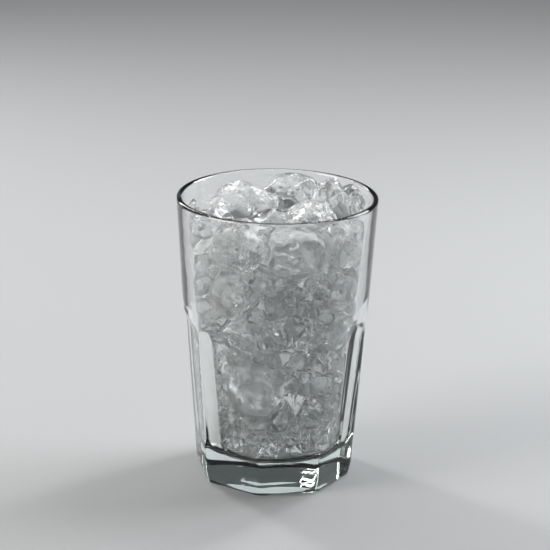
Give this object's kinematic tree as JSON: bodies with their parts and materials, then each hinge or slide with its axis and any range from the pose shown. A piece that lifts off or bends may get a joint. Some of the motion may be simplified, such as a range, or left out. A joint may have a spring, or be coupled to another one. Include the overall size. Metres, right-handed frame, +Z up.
{
  "type": "glass tumbler filled with ice",
  "caption": "Round-mouthed clear glass tumbler with flat facets on its lower half, heaped to just above the rim with irregular lumps of broken ice.",
  "frame": {"origin": "on the table, under the middle of the tumbler", "axes": "+Z up through the mouth, the middle of one flat facet faces -Y"},
  "size_m": [0.0854, 0.0854, 0.1332],
  "materials": {
    "glass": "clear pressed soda-lime glass, fire-polished, faintly green at the edges",
    "ice": "broken ice, clear inside and frosted white on broken faces and along its cracks"
  },
  "bodies": {
    "root": {"tumbler": "glass", "ice_bottom_front": "ice", "ice_bottom_front_left": "ice", "ice_bottom_left": "ice", "ice_bottom_front_right": "ice", "ice_bottom_right": "ice", "ice_bottom_far_right": "ice", "ice_bottom_back_right": "ice", "ice_bottom_back": "ice", "ice_bottom_back_left": "ice", "ice_bottom_far_left": "ice", "ice_bottom_middle": "ice", "ice_lower_slab": "ice", "ice_lower_chip": "ice", "ice_lower_right": "ice", "ice_lower_far_right": "ice", "ice_lower_back_right": "ice", "ice_lower_back": "ice", "ice_lower_back_left": "ice", "ice_lower_left": "ice", "ice_lower_middle": "ice", "ice_middle_wedge": "ice", "ice_middle_tip": "ice", "ice_middle_front": "ice", "ice_middle_right": "ice", "ice_middle_far_right": "ice", "ice_middle_back_right": "ice", "ice_middle_back": "ice", "ice_middle_back_left": "ice", "ice_middle_left": "ice", "ice_middle_middle": "ice", "ice_upper_left": "ice", "ice_upper_front": "ice", "ice_upper_front_right": "ice", "ice_upper_right": "ice", "ice_upper_far_right": "ice", "ice_upper_back_right": "ice", "ice_upper_back": "ice", "ice_upper_back_left": "ice", "ice_upper_far_left": "ice", "ice_upper_middle": "ice", "ice_top_front": "ice", "ice_top_left": "ice", "ice_top_right": "ice", "ice_top_far_right": "ice", "ice_top_back_right": "ice", "ice_top_back": "ice", "ice_top_back_left": "ice", "ice_top_far_left": "ice", "ice_top_middle": "ice", "ice_heap_left": "ice", "ice_heap_chip": "ice", "ice_heap_front": "ice", "ice_heap_peak": "ice", "ice_heap_right": "ice", "ice_heap_back": "ice"}
  },
  "joints": []
}
